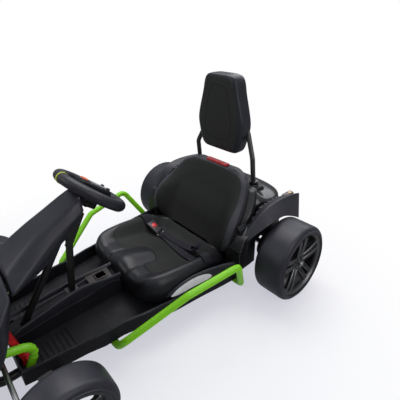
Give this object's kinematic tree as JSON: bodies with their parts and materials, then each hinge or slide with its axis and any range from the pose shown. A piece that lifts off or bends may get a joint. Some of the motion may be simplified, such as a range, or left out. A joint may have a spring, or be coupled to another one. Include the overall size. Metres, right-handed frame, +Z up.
{
  "type": "electric drift kart",
  "caption": "Children's electric drift kart with a low moulded floor pan, bucket seat and headrest, green side bars, tilted steering wheel, steered front wheels and wide smooth rear wheels.",
  "frame": {"origin": "on the floor below the middle of the kart's length and width", "axes": "-Y forward, +X the driver's left, +Z up"},
  "size_m": [0.8, 1.1898, 0.73],
  "materials": {
    "black_steel": "satin powder coat",
    "green_steel": "gloss powder coat",
    "bare_steel": "zinc plated",
    "body_plastic": "satin moulded, fine grain",
    "pan_plastic": "matt moulded, fine grain",
    "hood_plastic": "gloss",
    "seat_plastic": "satin moulded with matt olive-black inlays",
    "headrest_skin": "matt skin, fine grain",
    "webbing": "woven webbing",
    "buckle_plastic": "satin",
    "red_plastic": "gloss",
    "orange_plastic": "gloss",
    "pale_lens": "gloss, bare",
    "lamp_lens": "clear",
    "tail_lens": "gloss",
    "tyre": "satin blow-moulded tread",
    "rim": "satin with bright edges",
    "battery_case": "matt"
  },
  "bodies": {
    "root": {"chassis_frame": "black_steel", "floor_pan": "pan_plastic", "centre_spine": "pan_plastic", "charge_socket": "buckle_plastic", "column_support": "black_steel", "column_cover": "body_plastic", "nose_cone": "body_plastic", "toe_bar": "green_steel", "headlamps": "lamp_lens", "accelerator_pedal": "pan_plastic", "brake_pedal": "red_plastic", "seat_rails": "black_steel", "seat_base": "seat_plastic", "seat_back": "seat_plastic", "seat_belt": "webbing", "belt_buckle": "buckle_plastic", "side_bar_left": "green_steel", "side_bar_right": "green_steel", "side_panels": "body_plastic", "lens_plates": "pale_lens", "battery": "battery_case", "rear_body": "pan_plastic", "rear_hood": "hood_plastic", "hood_tab": "red_plastic", "rear_fender_left": "body_plastic", "rear_fender_right": "body_plastic", "tail_lamps": "tail_lens", "rear_bumper": "black_steel", "rear_axle": "bare_steel", "gearboxes": "pan_plastic", "headrest_posts": "black_steel", "headrest_pad": "headrest_skin"},
    "steering_column": {"steering_shaft_upper": "black_steel", "steering_wheel": "body_plastic", "steering_hub": "body_plastic", "wheel_buttons": "orange_plastic"},
    "lower_shaft": {"steering_shaft_lower": "black_steel"},
    "knuckle_left": {"knuckle_left": "bare_steel"},
    "knuckle_right": {"knuckle_right": "bare_steel"},
    "tie_rod": {"tie_rod": "bare_steel"},
    "front_wheel_left": {"front_tyre_left": "tyre", "front_rim_left": "rim"},
    "front_wheel_right": {"front_tyre_right": "tyre", "front_rim_right": "rim"},
    "rear_wheel_left": {"rear_tyre_left": "tyre", "rear_rim_left": "rim"},
    "rear_wheel_right": {"rear_tyre_right": "tyre", "rear_rim_right": "rim"}
  },
  "joints": [
    {"name": "steer", "type": "hinge", "parent": "root", "child": "steering_column", "pos_m": [0, -0.141, 0.454], "axis": [0, 0.7193, 0.6947], "range_deg": [-25, 25]},
    {"name": "lower_steer", "type": "hinge", "parent": "root", "child": "lower_shaft", "pos_m": [0, -0.20718, 0.39009], "axis": [0, 0.5192, 0.8547], "range_deg": [-25, 25]},
    {"name": "kingpin_left", "type": "hinge", "parent": "root", "child": "knuckle_left", "pos_m": [0.25, -0.39, 0.115], "axis": [0, 0, 1], "range_deg": [-25, 25]},
    {"name": "kingpin_right", "type": "hinge", "parent": "root", "child": "knuckle_right", "pos_m": [-0.25, -0.39, 0.115], "axis": [0, 0, 1], "range_deg": [-25, 25]},
    {"name": "tie_rod_pin", "type": "hinge", "parent": "knuckle_left", "child": "tie_rod", "pos_m": [0.25, -0.455, 0.107], "axis": [0, 0, 1], "range_deg": [-25, 25]},
    {"name": "front_roll_left", "type": "hinge", "parent": "knuckle_left", "child": "front_wheel_left", "pos_m": [0.3225, -0.39, 0.115], "axis": [1, 0, 0], "continuous": true},
    {"name": "front_roll_right", "type": "hinge", "parent": "knuckle_right", "child": "front_wheel_right", "pos_m": [-0.3225, -0.39, 0.115], "axis": [1, 0, 0], "continuous": true},
    {"name": "rear_roll_left", "type": "hinge", "parent": "root", "child": "rear_wheel_left", "pos_m": [0.344, 0.4, 0.135], "axis": [1, 0, 0], "continuous": true},
    {"name": "rear_roll_right", "type": "hinge", "parent": "root", "child": "rear_wheel_right", "pos_m": [-0.344, 0.4, 0.135], "axis": [1, 0, 0], "continuous": true}
  ],
  "couplings": [
    {"joint": "lower_steer", "follows": "steer", "ratio": 1},
    {"joint": "kingpin_left", "follows": "steer", "ratio": 1},
    {"joint": "kingpin_right", "follows": "steer", "ratio": 1},
    {"joint": "tie_rod_pin", "follows": "steer", "ratio": -1}
  ]
}
